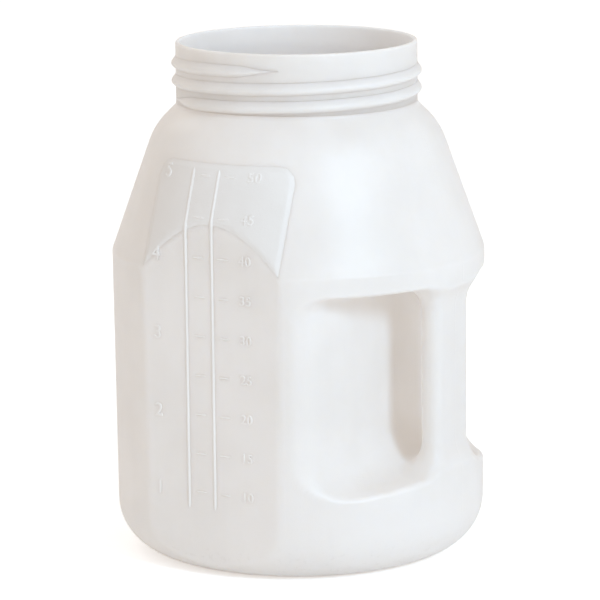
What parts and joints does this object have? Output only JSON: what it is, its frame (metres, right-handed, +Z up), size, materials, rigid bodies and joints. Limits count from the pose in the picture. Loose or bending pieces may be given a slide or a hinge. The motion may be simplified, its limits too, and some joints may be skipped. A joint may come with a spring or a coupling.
{
  "type": "calf feeding bottle body",
  "caption": "Translucent blow-moulded wide-mouth jug with a through hand grip, a screw neck, a conical shoulder and a raised fill scale.",
  "frame": {"origin": "centre of the standing ring's plane, under the mouth's axis", "axes": "+Z up along the mouth's axis, +X from the axis towards the hand grip, -Y towards the reading scale"},
  "size_m": [0.19, 0.1733, 0.261],
  "materials": {
    "hdpe_body": "satin, milky translucent natural polyethylene",
    "hdpe_neck": "satin, thicker natural polyethylene",
    "hdpe_scale": "fine matt, raised relief in natural polyethylene"
  },
  "bodies": {
    "root": {"base_disc": "hdpe_body", "standing_ring": "hdpe_body", "heel": "hdpe_body", "foot_band": "hdpe_body", "scale_panel": "hdpe_body", "plain_panel": "hdpe_body", "side_wall": "hdpe_body", "grip_ledge": "hdpe_body", "recess_wall": "hdpe_body", "grip_lip": "hdpe_body", "hand_grip": "hdpe_body", "shoulder_edge": "hdpe_body", "shoulder_cone": "hdpe_body", "crown": "hdpe_body", "neck_finish": "hdpe_neck", "neck_thread": "hdpe_neck", "scale_field": "hdpe_scale", "scale_ribs": "hdpe_scale", "scale_ticks": "hdpe_scale", "scale_numerals": "hdpe_scale"}
  },
  "joints": []
}
